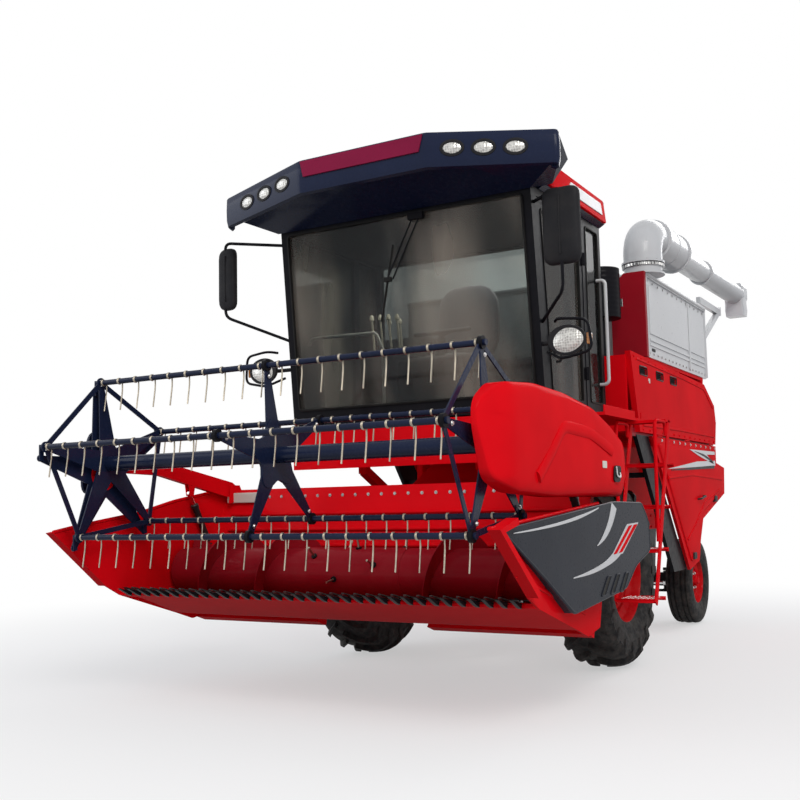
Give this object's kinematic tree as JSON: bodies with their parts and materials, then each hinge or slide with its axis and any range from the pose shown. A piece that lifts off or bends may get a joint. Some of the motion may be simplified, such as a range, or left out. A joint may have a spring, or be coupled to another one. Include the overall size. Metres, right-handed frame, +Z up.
{
  "type": "combine harvester",
  "caption": "Wheeled grain combine with a raised reel header, glazed cab, hinged side doors and a swinging unloading auger.",
  "frame": {"origin": "on the ground, under the middle of the whole machine", "axes": "+Z up; the machine faces -Y; +X is its own left side"},
  "size_m": [3.0356, 7.1143, 3.412],
  "materials": {
    "red_paint": "gloss enamel",
    "rim_paint": "gloss enamel",
    "dark_red_paint": "satin enamel",
    "navy_paint": "satin enamel",
    "black_paint": "satin enamel",
    "grey_paint": "satin enamel",
    "shield_plastic": "moulded",
    "tyre_rubber": "ribbed rubber",
    "tinted_glass": "tinted",
    "lamp_lens": "clear lens",
    "bare_steel": "ground",
    "cylinder_paint": "enamel",
    "seat_fabric": "woven",
    "interior_plastic": "grained",
    "engine_paint": "painted casting"
  },
  "bodies": {
    "chassis": {"access_ladder": "red_paint", "body_shell": "dark_red_paint", "cab_frame": "black_paint", "cab_glass": "tinted_glass", "cab_roof": "navy_paint", "chassis_frame": "red_paint", "control_console": "interior_plastic", "cooling_housing": "black_paint", "drive_axle": "red_paint", "engine": "engine_paint", "grain_tank": "grey_paint", "lamps": "lamp_lens", "mirrors": "black_paint", "mudguards": "black_paint", "operator_seat": "seat_fabric", "platform": "red_paint", "steering_axle": "black_paint", "steering_column": "interior_plastic", "straw_hood": "red_paint", "tank_front_panel": "red_paint", "upper_panel_left": "red_paint", "upper_panel_right": "red_paint"},
    "front_wheel_left": {"front_tyre_left": "tyre_rubber", "front_rim_left": "rim_paint"},
    "front_wheel_right": {"front_tyre_right": "tyre_rubber", "front_rim_right": "rim_paint"},
    "rear_wheel_left": {"rear_tyre_left": "tyre_rubber", "rear_rim_left": "rim_paint"},
    "rear_wheel_right": {"rear_tyre_right": "tyre_rubber", "rear_rim_right": "rim_paint"},
    "left_knuckle": {"knuckle_left": "black_paint"},
    "right_knuckle": {"knuckle_right": "black_paint"},
    "tie_rod": {"tie_rod": "black_paint"},
    "steer_barrel": {"steering_cylinder_barrel": "cylinder_paint"},
    "steer_rod": {"steering_cylinder_rod": "bare_steel"},
    "header": {"feeder_house": "red_paint", "feeder_cheeks": "red_paint", "feeder_decks": "red_paint", "header_frame": "red_paint", "divider_shields": "shield_plastic"},
    "lift_barrels": {"lift_cylinder_barrels": "cylinder_paint"},
    "lift_rods": {"lift_cylinder_rods": "bare_steel"},
    "auger": {"header_auger": "dark_red_paint"},
    "knife": {"cutter_knife": "bare_steel"},
    "reel_carrier": {"reel_arms": "red_paint", "reel_cover": "red_paint"},
    "reel_barrels": {"reel_cylinder_barrels": "cylinder_paint"},
    "reel_rods": {"reel_cylinder_rods": "bare_steel"},
    "reel": {"reel_frame": "navy_paint"},
    "eccentric": {"eccentric_star": "navy_paint"},
    "unloader": {"unloading_auger": "grey_paint"},
    "cab_door": {"cab_door_left": "black_paint", "door_glass": "tinted_glass"},
    "side_door_l": {"side_door_left": "red_paint"},
    "side_door_r": {"side_door_right": "red_paint"},
    "bat_1": {"reel_bat_1": "navy_paint"},
    "bat_2": {"reel_bat_2": "navy_paint"},
    "bat_3": {"reel_bat_3": "navy_paint"},
    "bat_4": {"reel_bat_4": "navy_paint"},
    "bat_5": {"reel_bat_5": "navy_paint"}
  },
  "joints": [
    {"name": "front_wheel_left_spin", "type": "hinge", "parent": "chassis", "child": "front_wheel_left", "pos_m": [0.955, -0.576, 0.625], "axis": [1, 0, 0], "continuous": true},
    {"name": "front_wheel_right_spin", "type": "hinge", "parent": "chassis", "child": "front_wheel_right", "pos_m": [-0.955, -0.576, 0.625], "axis": [1, 0, 0], "continuous": true},
    {"name": "rear_wheel_left_spin", "type": "hinge", "parent": "left_knuckle", "child": "rear_wheel_left", "pos_m": [0.8, 2.164, 0.385], "axis": [1, 0, 0], "continuous": true},
    {"name": "rear_wheel_right_spin", "type": "hinge", "parent": "right_knuckle", "child": "rear_wheel_right", "pos_m": [-0.8, 2.164, 0.385], "axis": [1, 0, 0], "continuous": true},
    {"name": "steer_left", "type": "hinge", "parent": "chassis", "child": "left_knuckle", "pos_m": [0.62, 2.164, 0.385], "axis": [0, 0, 1], "range_deg": [-30, 30]},
    {"name": "steer_right", "type": "hinge", "parent": "chassis", "child": "right_knuckle", "pos_m": [-0.62, 2.164, 0.385], "axis": [0, 0, 1], "range_deg": [-30, 30]},
    {"name": "tie_rod_turn", "type": "hinge", "parent": "left_knuckle", "child": "tie_rod", "pos_m": [0.62, 2.314, 0.285], "axis": [0, 0, 1], "range_deg": [-30, 30]},
    {"name": "steer_barrel_swing", "type": "hinge", "parent": "chassis", "child": "steer_barrel", "pos_m": [0.06, 2.054, 0.369], "axis": [0, 0, 1], "range_deg": [-2, 2]},
    {"name": "steer_rod_slide", "type": "slide", "parent": "steer_barrel", "child": "steer_rod", "axis": [1, 0, 0], "range_m": [-0.058, 0.058]},
    {"name": "header_lift", "type": "hinge", "parent": "chassis", "child": "header", "pos_m": [0, -0.426, 1.35], "axis": [1, 0, 0], "range_deg": [-3, 12.5]},
    {"name": "lift_barrel_swing", "type": "hinge", "parent": "chassis", "child": "lift_barrels", "pos_m": [0, -0.696, 0.38], "axis": [1, 0, 0], "range_deg": [-2.53, 9.59]},
    {"name": "lift_rod_slide", "type": "slide", "parent": "lift_barrels", "child": "lift_rods", "axis": [0, -0.8882, 0.4594], "range_m": [-0.2191, 0.0541]},
    {"name": "auger_spin", "type": "hinge", "parent": "header", "child": "auger", "pos_m": [0, -2.2482, 0.72624], "axis": [1, 0, 0], "continuous": true},
    {"name": "knife_slide", "type": "slide", "parent": "header", "child": "knife", "axis": [1, 0, 0], "range_m": [-0.038, 0.038]},
    {"name": "reel_lift", "type": "hinge", "parent": "header", "child": "reel_carrier", "pos_m": [0, -1.806, 1.256], "axis": [1, 0, 0], "range_deg": [-12, 5]},
    {"name": "reel_barrel_swing", "type": "hinge", "parent": "header", "child": "reel_barrels", "pos_m": [0, -2.026, 0.88], "axis": [1, 0, 0], "range_deg": [-5.89, 2.63]},
    {"name": "reel_rod_slide", "type": "slide", "parent": "reel_barrels", "child": "reel_rods", "axis": [0, -0.4908, 0.8712], "range_m": [-0.0342, 0.0792]},
    {"name": "reel_spin", "type": "hinge", "parent": "reel_carrier", "child": "reel", "pos_m": [0, -3.047, 1.411], "axis": [1, 0, 0], "continuous": true},
    {"name": "eccentric_spin", "type": "hinge", "parent": "reel_carrier", "child": "eccentric", "pos_m": [-1.3, -3.047, 1.349], "axis": [1, 0, 0], "continuous": true},
    {"name": "bat_1_turn", "type": "hinge", "parent": "reel", "child": "bat_1", "pos_m": [0, -3.1166, 1.89401], "axis": [1, 0, 0], "continuous": true},
    {"name": "bat_2_turn", "type": "hinge", "parent": "reel", "child": "bat_2", "pos_m": [0, -2.60914, 1.62645], "axis": [1, 0, 0], "continuous": true},
    {"name": "bat_3_turn", "type": "hinge", "parent": "reel", "child": "bat_3", "pos_m": [0, -2.70678, 1.06115], "axis": [1, 0, 0], "continuous": true},
    {"name": "bat_4_turn", "type": "hinge", "parent": "reel", "child": "bat_4", "pos_m": [0, -3.2746, 0.97932], "axis": [1, 0, 0], "continuous": true},
    {"name": "bat_5_turn", "type": "hinge", "parent": "reel", "child": "bat_5", "pos_m": [0, -3.52788, 1.49406], "axis": [1, 0, 0], "continuous": true},
    {"name": "unloader_swing", "type": "hinge", "parent": "chassis", "child": "unloader", "pos_m": [1.02, 0.434, 3], "axis": [0, 0, 1], "range_deg": [-95, 0]},
    {"name": "cab_door", "type": "hinge", "parent": "chassis", "child": "cab_door", "pos_m": [0.97, -0.802, 2.3], "axis": [0, 0, 1], "range_deg": [0, 75]},
    {"name": "side_door_left", "type": "hinge", "parent": "chassis", "child": "side_door_l", "pos_m": [1.104, -0.576, 1.619], "axis": [0, 1, 0], "range_deg": [-75, 0]},
    {"name": "side_door_right", "type": "hinge", "parent": "chassis", "child": "side_door_r", "pos_m": [-1.104, -0.576, 1.619], "axis": [0, 1, 0], "range_deg": [0, 75]}
  ],
  "couplings": [
    {"joint": "steer_right", "follows": "steer_left", "ratio": 1},
    {"joint": "tie_rod_turn", "follows": "steer_left", "ratio": -1},
    {"joint": "steer_barrel_swing", "follows": "steer_left", "ratio": 0.0032},
    {"joint": "steer_rod_slide", "follows": "steer_left", "m_per_rad": 0.1069},
    {"joint": "lift_barrel_swing", "follows": "header_lift", "ratio": 0.7432},
    {"joint": "lift_rod_slide", "follows": "header_lift", "m_per_rad": -0.9952},
    {"joint": "reel_barrel_swing", "follows": "reel_lift", "ratio": 0.4656},
    {"joint": "reel_rod_slide", "follows": "reel_lift", "m_per_rad": -0.3686},
    {"joint": "eccentric_spin", "follows": "reel_spin", "ratio": 1},
    {"joint": "bat_1_turn", "follows": "reel_spin", "ratio": -1},
    {"joint": "bat_2_turn", "follows": "reel_spin", "ratio": -1},
    {"joint": "bat_3_turn", "follows": "reel_spin", "ratio": -1},
    {"joint": "bat_4_turn", "follows": "reel_spin", "ratio": -1},
    {"joint": "bat_5_turn", "follows": "reel_spin", "ratio": -1}
  ]
}
